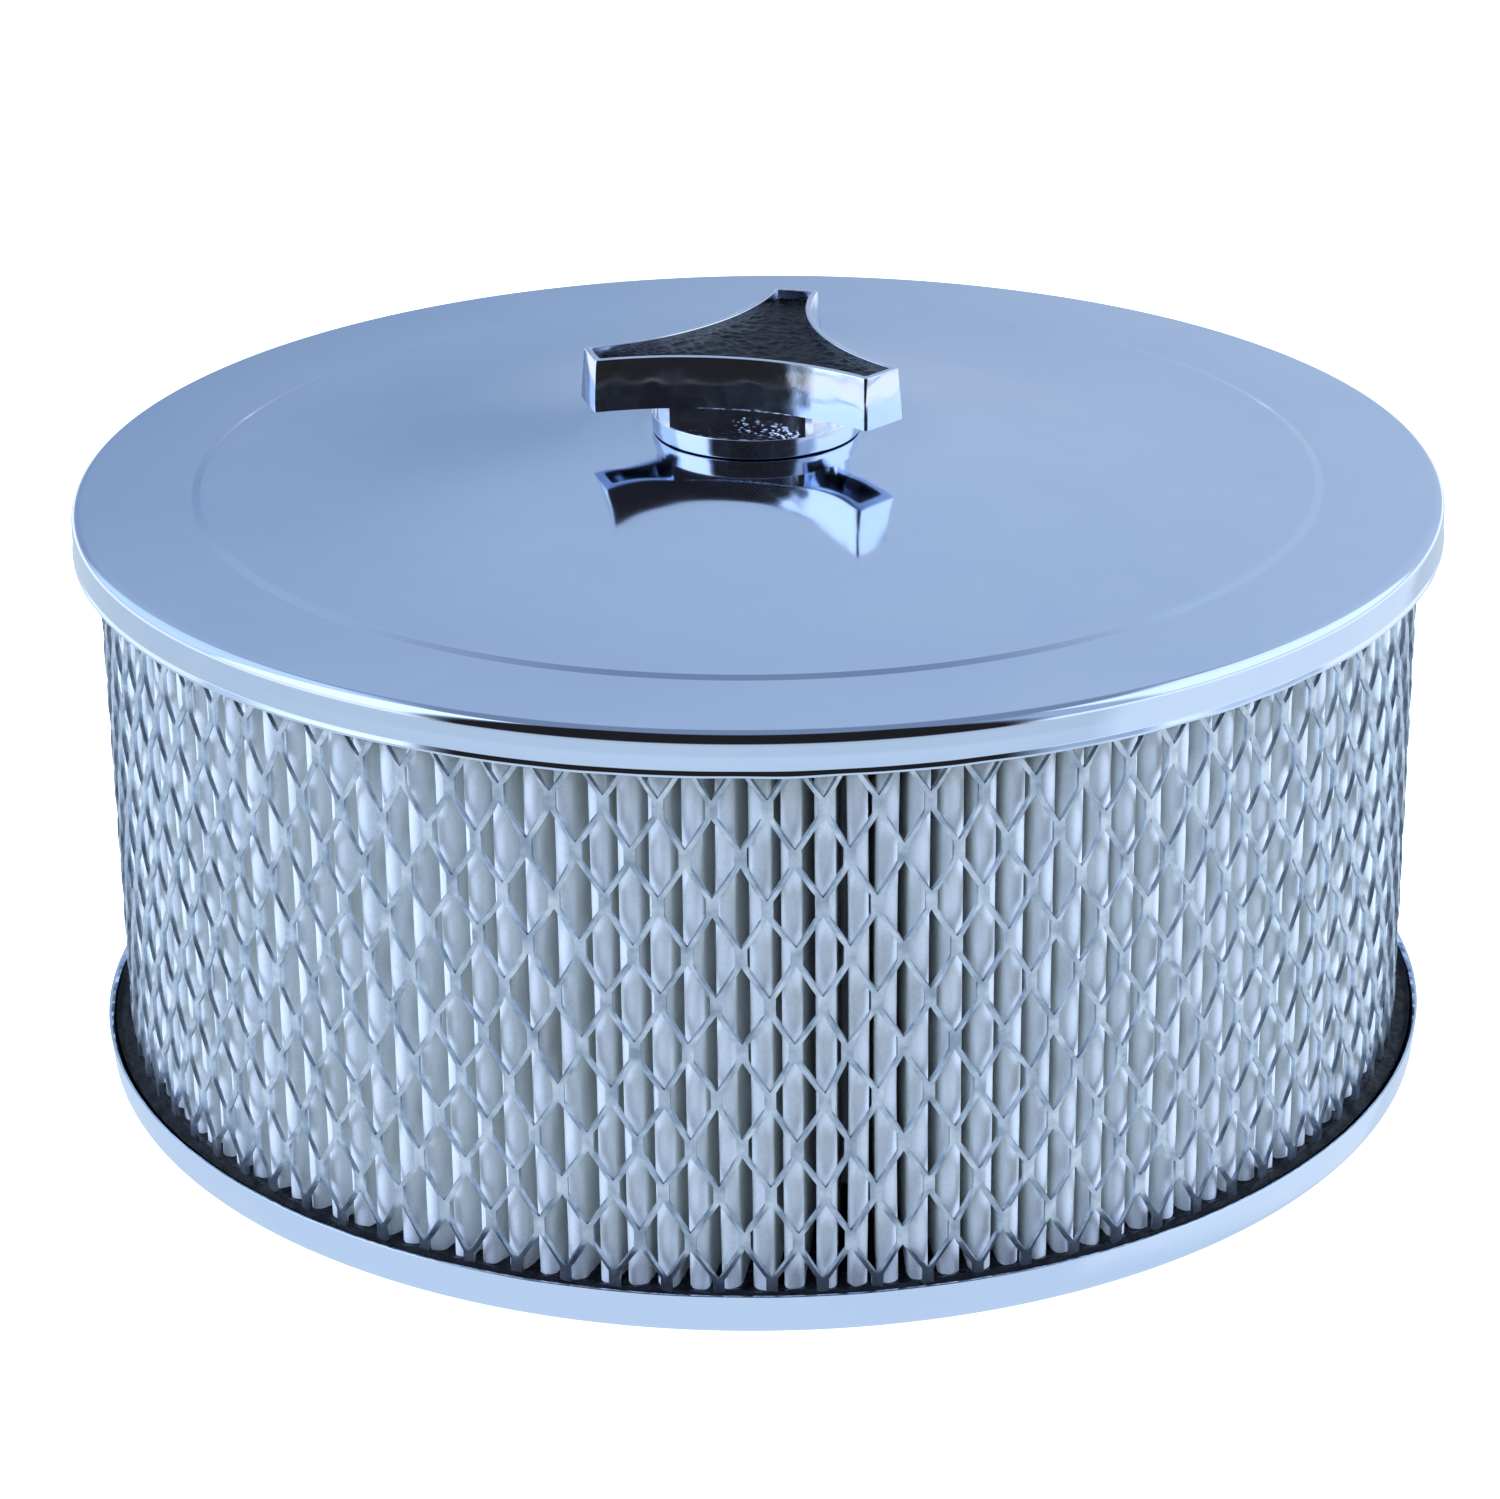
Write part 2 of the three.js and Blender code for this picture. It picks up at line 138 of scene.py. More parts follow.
def turned(name, outline, steps=256, sharp=35):
    """A solid of revolution about Z from a closed (radius, z) outline."""
    points = []
    for k in range(steps):
        angle = FULL_TURN * k / steps
        points += [(r * math.cos(angle), r * math.sin(angle), z) for r, z in outline]
    return solid(name, points, ring_faces(steps, len(outline)), sharp)


def lofted(name, loops, sharp=35):
    """A solid through closed loops of equally many points, capped at both ends."""
    count = len(loops[0])
    points = [point for loop in loops for point in loop]
    faces = ring_faces(len(loops), count)[:-count]
    faces.append(tuple(range(count)))
    faces.append(tuple(range((len(loops) - 1) * count, len(loops) * count)))
    return solid(name, points, faces, sharp)


def apply_modifiers(piece):
    """Turns what the modifiers make into the piece's own mesh."""
    graph = bpy.context.evaluated_depsgraph_get()
    mesh = bpy.data.meshes.new_from_object(piece.evaluated_get(graph))
    piece.modifiers.clear()
    piece.data = mesh


def combine(piece, others, operation, sharp=35):
    """Joins the other solids to the piece, or cuts them away, and removes them."""
    for other in others:
        step = piece.modifiers.new(operation, "BOOLEAN")
        step.operation = operation
        step.object = other
        step.solver = "EXACT"
    apply_modifiers(piece)
    for other in others:
        bpy.data.objects.remove(other)
    shade(piece.data, sharp)


def softened(node, name, width):
    """A copy of a CAD node with its flat faces merged and its sharp edges rounded."""
    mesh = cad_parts[node].data.copy()
    bm = bmesh.new()
    bm.from_mesh(mesh)
    bmesh.ops.remove_doubles(bm, verts=bm.verts, dist=1e-6)
    bmesh.ops.dissolve_limit(bm, angle_limit=math.radians(2), verts=bm.verts, edges=bm.edges)
    bm.to_mesh(mesh)
    bm.free()
    piece = link(name, mesh)
    bevel = piece.modifiers.new("edges", "BEVEL")
    bevel.width = width
    bevel.segments = 3
    bevel.limit_method = "ANGLE"
    bevel.angle_limit = math.radians(40)
    apply_modifiers(piece)
    piece.data.materials.clear()
    shade(piece.data, 35)
    return piece


def thread_wave(turns):
    """Height of a V thread, from 0 at the root to 1 at the crest, flat at both."""
    saw = abs((turns % 1) * 2 - 1)
    return min(1, max(0, saw * 1.25 - 0.125))


def threaded(name, radius, depth, pitch, bottom, top, sides=36):
    """A rod along Z with a right-hand thread and coned ends."""
    rows_per_turn = 10
    rows = int((top - bottom) / pitch * rows_per_turn)
    loops = []
    for row in range(rows + 1):
        z = bottom + (top - bottom) * row / rows
        end = min(1, (0.35 * MM + min(z - bottom, top - z)) / MM)
        loop = []
        for k in range(sides):
            angle = FULL_TURN * k / sides
            wave = thread_wave((z - bottom) / pitch - k / sides)
            r = min(radius - depth * (1 - wave), radius - depth * 1.3 * (1 - end))
            loop.append((r * math.cos(angle), r * math.sin(angle), z))
        loops.append(loop)
    return lofted(name, loops, sharp=60)


# ---- material helpers ----


class Surface:
    """A Principled material and short calls for the nodes behind it."""

    def __init__(self, name, **settings):
        self.material = bpy.data.materials.new(name)
        self.material.use_nodes = True
        self.nodes = self.material.node_tree.nodes
        self.links = self.material.node_tree.links
        self.shader = self.nodes["Principled BSDF"]
        for socket, value in settings.items():
            self.shader.inputs[socket.replace("_", " ")].default_value = value
        self.place = self.nodes.new("ShaderNodeTexCoord").outputs["Object"]

    def join(self, source, target):
        self.links.new(source, target)

    def stretched(self, scale):
        """The object's own coordinates, scaled along each axis."""
        mapping = self.nodes.new("ShaderNodeMapping")
        mapping.inputs["Scale"].default_value = scale
        self.join(self.place, mapping.inputs["Vector"])
        return mapping.outputs["Vector"]

    def noise(self, scale, detail=3.0, roughness=0.55, where=None):
        node = self.nodes.new("ShaderNodeTexNoise")
        node.inputs["Scale"].default_value = scale
        node.inputs["Detail"].default_value = detail
        node.inputs["Roughness"].default_value = roughness
        self.join(where or self.place, node.inputs["Vector"])
        return node.outputs["Fac"]

    def cells(self, scale):
        node = self.nodes.new("ShaderNodeTexVoronoi")
        node.inputs["Scale"].default_value = scale
        self.join(self.place, node.inputs["Vector"])
        return node.outputs["Distance"]

    def ramp(self, source, *stops):
        """A colour ramp through (position, colour) stops."""
        node = self.nodes.new("ShaderNodeValToRGB")
        elements = node.color_ramp.elements
        while len(elements) < len(stops):
            elements.new(0.5)
        for element, (position, colour) in zip(elements, stops):
            element.position = position
            element.color = (*colour, 1)
        self.join(source, node.inputs["Fac"])
        return node.outputs["Color"]

    def span(self, source, low, high):
        """A value spread from low to high over the middle of a noise's range."""
        node = self.nodes.new("ShaderNodeMapRange")
        settings = (("From Min", 0.3), ("From Max", 0.7), ("To Min", low), ("To Max", high))
        for socket, value in settings:
            node.inputs[socket].default_value = value
        self.join(source, node.inputs["Value"])
        return node.outputs["Result"]

    def bump(self, source, distance, under=None):
        """Bump of a real height in metres, over another bump if there is one."""
        node = self.nodes.new("ShaderNodeBump")
        node.inputs["Distance"].default_value = distance
        self.join(source, node.inputs["Height"])
        if under:
            self.join(under, node.inputs["Normal"])
        return node.outputs["Normal"]

    def set(self, socket, source):
        self.join(source, self.shader.inputs[socket])


def lid_chrome():
    """Pressed sheet under satin chrome: nearly a mirror, with a faint haze and polishing grain."""
    s = Surface("lid_chrome", Metallic=1.0)
    haze = s.noise(60, detail=4)
    # painted light: the chrome's blue tint carries part of the blue cast of the light, which real chrome
    # does not have
    s.set("Base Color", s.ramp(haze, (0.3, (0.62, 0.735, 0.93)), (0.7, (0.66, 0.77, 0.95))))
    grain = s.noise(9000, detail=1)
    s.set("Roughness", s.span(haze, 0.055, 0.085))
    s.set("Normal", s.bump(grain, 0.4e-6, under=s.bump(s.noise(45, detail=2), 6e-6)))
    return s.material


def rim_chrome():
    """The same chrome on the turned-up and turned-down rims, a little wavy from pressing."""
    s = Surface("rim_chrome", Metallic=1.0)
    haze = s.noise(80, detail=4)
    # painted light: the chrome's blue tint carries part of the blue cast of the light, which real chrome
    # does not have
    s.set("Base Color", s.ramp(haze, (0.3, (0.66, 0.77, 0.95)), (0.7, (0.70, 0.80, 0.96))))
    s.set("Roughness", s.span(haze, 0.03, 0.06))
    ripple = s.noise(220, detail=2)
    s.set("Normal", s.bump(s.noise(9000, detail=1), 0.5e-6, under=s.bump(ripple, 5e-6)))
    return s.material


def cast_chrome(name, pebble_height=0.0):
    """Chromed die casting with the soft unevenness of the casting under it."""
    s = Surface(name, Metallic=1.0)
    haze = s.noise(300, detail=4)
    # painted light: the chrome's blue tint carries part of the blue cast of the light, which real chrome
    # does not have
    s.set("Base Color", s.ramp(haze, (0.3, (0.68, 0.76, 0.92)), (0.7, (0.74, 0.81, 0.95))))
    s.set("Roughness", s.span(haze, 0.05, 0.2))
    uneven = s.bump(s.noise(900, detail=3), 9e-6, under=s.bump(s.noise(170, detail=1), 330e-6))
    if pebble_height:
        uneven = s.bump(s.cells(1300), pebble_height, under=uneven)
    s.set("Normal", uneven)
    return s.material


def galvanised():
    """Zinc-dipped expanded steel with a cloudy, slightly dirty surface."""
    s = Surface("galvanised_steel", Metallic=0.92)
    cloud = s.noise(420, detail=5)
    colours = ((0.34, (0.36, 0.44, 0.52)), (0.5, (0.57, 0.65, 0.73)), (0.66, (0.77, 0.84, 0.90)))
    s.set("Base Color", s.ramp(cloud, *colours))
    s.set("Roughness", s.span(s.noise(900, detail=3), 0.28, 0.5))
    s.set("Normal", s.bump(s.noise(1500, detail=3), 40e-6))
    return s.material


def filter_paper():
    """Resin-treated cellulose paper: cream, painted cooler to carry part of the light's blue cast, matte,
    with fibres and faint horizontal ribs.
    """
    s = Surface("filter_paper", Roughness=0.82, Specular_IOR_Level=0.25)
    fibres = s.noise(2600, detail=6, roughness=0.7)
    blotch = s.noise(90, detail=3)
    mixed = s.nodes.new("ShaderNodeMath")
    mixed.operation = "MULTIPLY_ADD"
    mixed.inputs[1].default_value = 0.5
    s.join(fibres, mixed.inputs[0])
    halved = s.span(blotch, 0.15, 0.35)
    s.join(halved, mixed.inputs[2])
    # painted light: the cream is painted cooler and greener, carrying part of the blue cast of the light
    colours = ((0.35, (0.66, 0.69, 0.62)), (0.5, (0.75, 0.78, 0.73)), (0.65, (0.81, 0.84, 0.80)))
    s.set("Base Color", s.ramp(mixed.outputs["Value"], *colours))
    ribs = s.noise(500, detail=1, where=s.stretched((0.15, 0.15, 2.2)))
    s.set("Normal", s.bump(fibres, 25e-6, under=s.bump(ribs, 30e-6)))
    return s.material


def plastisol():
    """Black cast rubber: slightly glossy skin with fine pits."""
    s = Surface("black_plastisol", Specular_IOR_Level=0.22)
    cloud = s.noise(350, detail=4)
    s.set("Base Color", s.ramp(cloud, (0.3, (0.004, 0.005, 0.007)), (0.7, (0.012, 0.014, 0.020))))
    s.set("Roughness", s.span(cloud, 0.22, 0.5))
    pits = s.cells(1900)
    s.set("Normal", s.bump(pits, 60e-6, under=s.bump(s.noise(1200, detail=3), 60e-6)))
    return s.material


def pebbled_black():
    """Glossy black fill with a coarse pebble grain."""
    s = Surface("pebbled_black", Specular_IOR_Level=0.06)
    s.set("Base Color", s.ramp(s.noise(700), (0.3, (0.003, 0.004, 0.006)), (0.7, (0.009, 0.012, 0.018))))
    s.set("Roughness", s.span(s.noise(1500), 0.25, 0.42))
    s.set("Normal", s.bump(s.noise(3500, detail=2), 15e-6))
    return s.material


def zinc_plate():
    """Bright zinc plate on rolled steel and on fasteners."""
    s = Surface("zinc_plate", Metallic=1.0)
    cloud = s.noise(240, detail=4)
    s.set("Base Color", s.ramp(cloud, (0.3, (0.60, 0.64, 0.69)), (0.7, (0.74, 0.77, 0.80))))
    s.set("Roughness", s.span(cloud, 0.22, 0.38))
    scratches = s.noise(700, detail=2, where=s.stretched((1, 1, 7)))
    s.set("Normal", s.bump(scratches, 8e-6))
    return s.material


def fibre_gasket():
    """Dull black fibre washer."""
    s = Surface("fibre_gasket", Specular_IOR_Level=0.3)
    grain = s.noise(1800, detail=4)
    s.set("Base Color", s.ramp(grain, (0.3, (0.008, 0.008, 0.010)), (0.7, (0.03, 0.03, 0.034))))
    s.set("Roughness", s.span(grain, 0.6, 0.8))
    s.set("Normal", s.bump(grain, 30e-6))
    return s.material


LID_CHROME = lid_chrome()
RIM_CHROME = rim_chrome()
CAST_CHROME = cast_chrome("cast_chrome")
PEBBLED_CHROME = cast_chrome("pebbled_chrome", pebble_height=320e-6)
GALVANISED = galvanised()
PAPER = filter_paper()
PLASTISOL = plastisol()
PEBBLED_BLACK = pebbled_black()
ZINC = zinc_plate()
GASKET = fibre_gasket()


def place(piece, body, slot, *nodes, materials=()):
    """Gives a piece its materials and the body it rides on, and hides the CAD nodes it stands for; the
    slot is not used.
    """
    for material in materials:
        piece.data.materials.append(material)
    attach(piece, body)
    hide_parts(*nodes)


# ---- lid and pan ----

LID_CORNER = 1.3 * MM
CREASE_RADIUS = 66.8 * MM      # where the flat ring steps up to the dome
CREASE_BEND = 0.7 * MM
LIP = 0.15 * MM                # the flange's lower edge turns out this much
BARREL = 0.05 * MM             # and its wall bulges this much
# Millimetres: radius and height above the flat ring, from the knob's seat out to the crease.
DOME_PROFILE = [
    (12.8, 5.3), (15, 5.15), (20, 4.8), (22.5, 4.5), (26, 3.95), (31, 3.15),
    (37, 2.3), (44, 1.45), (52, 0.8), (60, 0.46), (65.8, 0.35),
]


def smooth_line(stations, steps):
    """Points on a cubic curve through the stations, level at the first one."""
    slopes = [0.0]
    for (x0, y0), (x1, y1) in zip(stations[:-2], stations[2:]):
        slopes.append((y1 - y0) / (x1 - x0))
    (x0, y0), (x1, y1) = stations[-2:]
    slopes.append((y1 - y0) / (x1 - x0))
    points = []
    for i in range(len(stations) - 1):
        (x0, y0), (x1, y1) = stations[i], stations[i + 1]
        for k in range(steps):
            t = k / steps
            near, far = (1 + 2 * t) * (1 - t) ** 2, t * t * (3 - 2 * t)
            pull = (x1 - x0) * (slopes[i] * t * (1 - t) ** 2 - slopes[i + 1] * t * t * (1 - t))
            points.append((x0 + (x1 - x0) * t, near * y0 + far * y1 + pull))
    points.append(stations[-1])
    return points


def dome_line(drop):
    """(radius, z) from the crease's inner side over the dome to the stud hole."""
    line = [(r * MM, RING_Z + rise * MM - drop) for r, rise in smooth_line(DOME_PROFILE, 6)]
    line.reverse()
    line.append((LID_HOLE, line[-1][1]))
    return line


def lid_outline():
    outer = HOUSING_RADIUS - LIP
    inner = HOUSING_RADIUS - SHEET
    foot = lid_low.z
    top, underside = dome_line(0), dome_line(SHEET)
    corners = [
        (inner, foot, 0.2 * MM),
        (HOUSING_RADIUS, foot, 0.13 * MM),
        (HOUSING_RADIUS, foot + 0.3 * MM, 0.1 * MM),
        (outer, foot + 0.75 * MM, 0.5 * MM),
        (outer + BARREL, foot + 2.6 * MM, 20 * MM),
        (outer, RING_Z, LID_CORNER),
        (CREASE_RADIUS, RING_Z, CREASE_BEND),
        (*top[0], CREASE_BEND),
    ]
    corners += [(r, z, 0) for r, z in top[1:]]
    corners += [(r, z, 0) for r, z in reversed(underside)]
    corners += [
        (CREASE_RADIUS, RING_Z - SHEET, CREASE_BEND),
        (inner, RING_Z - SHEET, LID_CORNER - SHEET),
    ]
    return rounded(corners, steps=8)


def ripple_edge(piece, level, reach, amount, lobes):
    """Makes a pressed edge gently wavy, fading out over the reach above or below its level."""
    for vertex in piece.data.vertices:
        near = 1 - abs(vertex.co.z - level) / reach
        if near > 0:
            angle = math.atan2(vertex.co.y, vertex.co.x)
            where = Vector((lobes * math.cos(angle), lobes * math.sin(angle), 0))
            vertex.co.z += near * amount * noise.noise(where)


def make_lid():
    lid = turned("lid_visual", lid_outline(), steps=360, sharp=50)
    ripple_edge(lid, lid_low.z, 1.0 * MM, 0.14 * MM, 14)
    lid.data.materials.append(LID_CHROME)
    lid.data.materials.append(RIM_CHROME)
    for face in lid.data.polygons:
        if face.center.z < RING_Z - 0.3 * MM and face.center.xy.length > HOUSING_RADIUS - 2 * MM:
            face.material_index = 1
    place(lid, "cover", "chrome", "lid")


PAN_FLARE = 0.45 * MM
PAN_CORNER = 1.6 * MM
PAN_HOLE = 27.5 * MM
RIM_EDGE = 0.3 * MM           # the pan's rim thins to this at its lip


def make_pan():
    foot = HOUSING_RADIUS - PAN_FLARE
    rim = HOUSING_RADIUS
    outline = rounded([
        (PAN_HOLE, PAN_Z, 0.1 * MM),
        (foot, PAN_Z, PAN_CORNER),
        (rim, pan_high.z, 0.1 * MM),
        (rim - RIM_EDGE, pan_high.z, 0.1 * MM),
        (rim - SHEET, pan_high.z - 0.6 * MM, 0.3 * MM),
        (foot - SHEET, PAN_Z + SHEET, PAN_CORNER - SHEET),
        (PAN_HOLE, PAN_Z + SHEET, 0.1 * MM),
    ], steps=8)
    pan = turned("base_pan_visual", outline, steps=360, sharp=50)
    ripple_edge(pan, pan_high.z, 1.5 * MM, 0.07 * MM, 12)
    place(pan, "base", "chrome", "base_pan", materials=[RIM_CHROME])


# ---- filter element ----

EXPANDED_COLUMNS = 86        # diamonds round the outer sleeve
CORE_COLUMNS = 58            # and round the inner one
ROW_STEP = 5.65 * MM         # from one row of bonds to the next, half a diamond's height
BOND_LENGTH = 2.1 * MM
STRAND_WIDTH = 0.64 * MM
STRAND_THICKNESS = 0.45 * MM
STRAND_TWIST = math.radians(31)
SLOPING_WIDTH = 1.08         # a strand is this much wider between its bonds
BOND_OFFSET = 0.49           # of a width from a bond's middle, so bonded strands just overlap
FIRST_BOND = PAN_Z + 4.5 * MM
FRONT = math.radians(-90)
BOND_PHASE = FRONT - math.radians(0.55)


def strand_section(radius, angle, z, width, twist):
    """Four corners of a strand's flat section, its face turned about Z by the twist."""
    outward = Vector((math.cos(angle), math.sin(angle), 0))
    across = Vector((-outward.y, outward.x, 0))
    along = across * math.cos(twist) + outward * math.sin(twist)
    face = outward * math.cos(twist) - across * math.sin(twist)
    centre = outward * (radius - STRAND_THICKNESS / 2) + Vector((0, 0, z))
    half, thick = along * width / 2, face * STRAND_THICKNESS / 2
    return [tuple(centre + corner) for corner in (half + thick, thick - half, -half - thick, half - thick)]


def expanded_sleeve(name, radius, bottom, top, columns, row_step, first_bond, phase, seed):
    """Expanded metal rolled into a sleeve: strands that zigzag and bond with their neighbours by turns."""
    draw = random.Random(seed)
    step = math.pi / columns
    rows = int((top - first_bond) / row_step) + 1
    jitter = {
        (column, row): (draw.gauss(0, 0.09 * MM) / radius, draw.gauss(0, 0.12 * MM))
        for column in range(2 * columns) for row in range(rows)
    }
    points, faces = [], []
    for strand in range(2 * columns):
        stations = []
        for row in range(rows):
            side = 1 if (strand + row) % 2 == 0 else -1
            bond = strand if side == 1 else strand - 1
            turn, lift = jitter[bond % (2 * columns), row]
            angle = phase + step * (bond + 0.5) + turn - side * STRAND_WIDTH * BOND_OFFSET / radius
            z = first_bond + row * row_step + lift
            low = bottom if row == 0 else z - BOND_LENGTH / 2
            stations.append((angle, low, z + BOND_LENGTH / 2, side))
        first_point = len(points)
        for row, (angle, low, high, side) in enumerate(stations):
            points += strand_section(radius, angle, low, STRAND_WIDTH, 0)
            if row == rows - 1:
                points += strand_section(radius, angle, min(high, top), STRAND_WIDTH, 0)
                continue
            points += strand_section(radius, angle, high, STRAND_WIDTH, 0)
            next_angle, next_low = stations[row + 1][:2]
            for part, share in ((0.2, 0.8), (0.5, 1.0), (0.8, 0.8)):
                between = angle + (next_angle - angle) * part
                z = high + (next_low - high) * part
                twist = side * STRAND_TWIST * share
                points += strand_section(radius, between, z, STRAND_WIDTH * SLOPING_WIDTH, twist)
        sections = (len(points) - first_point) // 4
        for section in range(sections - 1):
            here = first_point + 4 * section
            for i in range(4):
                j = (i + 1) % 4
                faces.append((here + i, here + j, here + 4 + j, here + 4 + i))
        last = first_point + 4 * (sections - 1)
        faces.append(tuple(first_point + i for i in (3, 2, 1, 0)))
        faces.append(tuple(last + i for i in range(4)))
    return solid(name, points, faces, sharp=40, weld=1e-9)


PLEATS = 140
PLEAT_TIP = 76.9 * MM
PLEAT_ROOT = 54.4 * MM
PAPER_THICKNESS = 0.35 * MM
CREST_RADIUS = 1.12 * MM
VALLEY_RADIUS = 0.42 * MM
PLEAT_LEAN = math.radians(3.3)   # how far each valley sits round from the middle of its gap
PLEAT_PHASE = FRONT + math.radians(2.4)


def fold(centre_radius, angle, size, inward, steps, wobble=0.0):
    """Points round one fold of the paper, on the outside of a crest or the inside of a valley."""
    outward = Vector((math.cos(angle), math.sin(angle)))
    across = Vector((-outward.y, outward.x))
    centre = outward * centre_radius + across * wobble
    points = []
    for k in range(steps + 1):
        swing = math.pi * (k / steps - 0.5)
        reach = -math.cos(swing) if inward else math.cos(swing)
        points.append(centre + across * size * math.sin(swing) + outward * size * reach)
    return points


def make_pleats():
    draw = random.Random(7)
    bottom, top = lower_high.z - 1.2 * MM, upper_low.z + 0.3 * MM
    levels = 9
    pitch = FULL_TURN / PLEATS
    shifts = [draw.gauss(0, 0.13 * MM) for _ in range(PLEATS)]
    bows = [draw.gauss(0, 0.12 * MM) for _ in range(PLEATS)]
    sizes = [CREST_RADIUS * draw.uniform(0.9, 1.08) for _ in range(PLEATS)]
    points = []
    for skin in (0, 1):
        for level in range(levels):
            share = level / (levels - 1)
            z = bottom + (top - bottom) * share
            for i in range(PLEATS):
                crest = PLEAT_PHASE + i * pitch
                valley = crest + pitch / 2 + PLEAT_LEAN
                wobble = shifts[i] + bows[i] * math.sin(math.pi * share)
                crest_size = sizes[i] - skin * PAPER_THICKNESS
                valley_size = VALLEY_RADIUS + skin * PAPER_THICKNESS
                loop = fold(PLEAT_TIP - sizes[i], crest, crest_size, False, 8, wobble)
                loop += fold(PLEAT_ROOT + VALLEY_RADIUS, valley, valley_size, True, 4)
                points += [(p.x, p.y, z) for p in loop]
    count = len(points) // (2 * levels)
    inner = levels * count
    faces = []
    for level in range(levels - 1):
        for i in range(count):
            j = (i + 1) % count
            a, b = level * count, (level + 1) * count
            faces.append((a + i, a + j, b + j, b + i))
            faces.append((inner + a + j, inner + a + i, inner + b + i, inner + b + j))
    last = (levels - 1) * count
    for i in range(count):
        j = (i + 1) % count
        faces.append((i, inner + i, inner + j, j))
        faces.append((last + j, inner + last + j, inner + last + i, last + i))
    pleats = solid("paper_pleats_visual", points, faces, sharp=60, weld=1e-9)
    place(pleats, "element", "filter_paper", "paper_pleats", materials=[PAPER])


def make_lower_seal():
    """Cast end ring whose free surface is lumpy and creeps up the pan's wall and the mesh."""
    wall = HOUSING_RADIUS - SHEET - 0.12 * MM
    foot = HOUSING_RADIUS - PAN_FLARE - SHEET - 0.3 * MM
    bottom = lower_low.z
    climb = 1.15 * MM
    band_start = 71 * MM
    steps = 34
    surface = [(wall - (wall - band_start) * k / steps, SEAL_TOP) for k in range(steps + 1)]
    outline = [(SEAL_BORE, bottom), (foot - 0.6 * MM, bottom), (foot, bottom + 0.6 * MM)]
    outline += surface + [(SEAL_BORE, SEAL_TOP)]
    seal = turned("lower_end_seal_visual", outline, steps=900, sharp=60)
    for vertex in seal.data.vertices:
        if vertex.co.z < SEAL_TOP - 1e-6:
            continue
        radius = vertex.co.xy.length
        coarse = noise.noise(vertex.co / (2.6 * MM))
        fine = noise.noise(vertex.co / (0.8 * MM))
        edge = max(0, 1 - (wall - radius) / (0.9 * MM))
        vertex.co.z += (1 - edge) * (0.24 * MM * coarse + 0.16 * MM * fine)
        vertex.co.z += climb * edge ** 2 * (1 + 0.08 * coarse)
        hug = max(0, 1 - abs(radius - MESH_RADIUS + 0.2 * MM) / (0.9 * MM))
        vertex.co.z += 0.45 * MM * hug * (1 + 0.7 * coarse)
    place(seal, "element", "black_rubber", "lower_end_seal", materials=[PLASTISOL])


def make_upper_seal():
    wall = HOUSING_RADIUS - SHEET - 0.3 * MM
    outline = rounded([
        (SEAL_BORE, upper_low.z, 0.8 * MM),
        (wall, upper_low.z, 0.8 * MM),
        (wall, upper_high.z, 1.2 * MM),
        (SEAL_BORE, upper_high.z, 1.2 * MM),
    ])
    seal = turned("upper_end_seal_visual", outline, steps=256)
    place(seal, "element", "black_rubber", "upper_end_seal", materials=[PLASTISOL])


def make_meshes():
    outer = expanded_sleeve(
        "outer_mesh_visual", MESH_RADIUS, lower_high.z - 1.4 * MM, upper_low.z + 1 * MM,
        EXPANDED_COLUMNS, ROW_STEP, FIRST_BOND, BOND_PHASE, seed=3)
    place(outer, "element", "galvanised_mesh", "outer_mesh", materials=[GALVANISED])
    inner = expanded_sleeve(
        "inner_mesh_visual", core_high.x, lower_high.z - 1.4 * MM, upper_low.z + 1 * MM,
        CORE_COLUMNS, ROW_STEP, FIRST_BOND, BOND_PHASE, seed=4)
    place(inner, "element", "galvanised_mesh", "inner_mesh", materials=[GALVANISED])


# ---- knob ----

KNOB_TURN = math.radians(75.9)
WING_REACH = 20.15 * MM
WING_HALF_WIDTH = 2.85 * MM
THROAT_RADIUS = 8.3 * MM
WING_DEPTH = 6.2 * MM
POCKET_DEPTH = 3 * MM           # the wings are hollow underneath, outside the hub
HUB_RADIUS = 12.4 * MM
HUB_LEDGE = 2.05 * MM
SKIRT = 0.26 * MM               # the hub's edge reaches down round the gasket
RIM_WIDTH = 0.75 * MM
KNOB_TOP = knob_high.z
HUB_BOTTOM = knob_low.z
LEDGE_Z = HUB_BOTTOM + HUB_LEDGE
RECESS_FLOOR = inlay_high.z
BORE_RADIUS = 3.4 * MM

corner_along = WING_REACH / 2 + WING_HALF_WIDTH * math.sqrt(3) / 2
half_chord = WING_REACH * math.sqrt(3) / 2 - WING_HALF_WIDTH / 2
sagitta = corner_along - THROAT_RADIUS
SIDE_ARC = (half_chord ** 2 + sagitta ** 2) / (2 * sagitta)
SIDE_CENTRE = THROAT_RADIUS + SIDE_ARC


def wing_half_width(along, inset=0.0):
    """Half the wing's width at a distance from the axis, where its two side arcs bound it."""
    arc = SIDE_ARC + inset
    return SIDE_CENTRE * math.sqrt(3) / 2 - math.sqrt(arc ** 2 - (along - SIDE_CENTRE / 2) ** 2)


